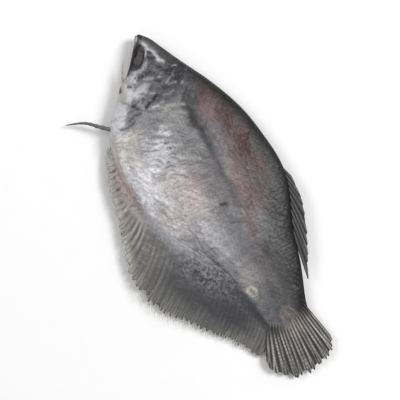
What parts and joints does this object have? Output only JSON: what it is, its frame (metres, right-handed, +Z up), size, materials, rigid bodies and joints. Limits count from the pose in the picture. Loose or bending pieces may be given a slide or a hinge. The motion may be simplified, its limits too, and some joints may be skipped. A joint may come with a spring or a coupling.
{
  "type": "dried gourami",
  "caption": "Whole dried fish with a deep flat body, a small upturned mouth, a long fringed belly fin, a fan tail and thread-like front fins, lying on its side.",
  "frame": {"origin": "middle of the footprint, on the surface that the fish lies on", "axes": "-X towards the snout, +Y towards the back, +Z up, out of the left flank"},
  "size_m": [0.17, 0.085, 0.0153],
  "materials": {
    "dried_skin": "scaly, silver and dark grey, slightly oily",
    "dried_fin": "dry, horny and ribbed, dark grey",
    "dried_eye": "shrunken, dark, slightly glossy"
  },
  "bodies": {
    "root": {"gourami": "dried_skin"}
  },
  "joints": []
}
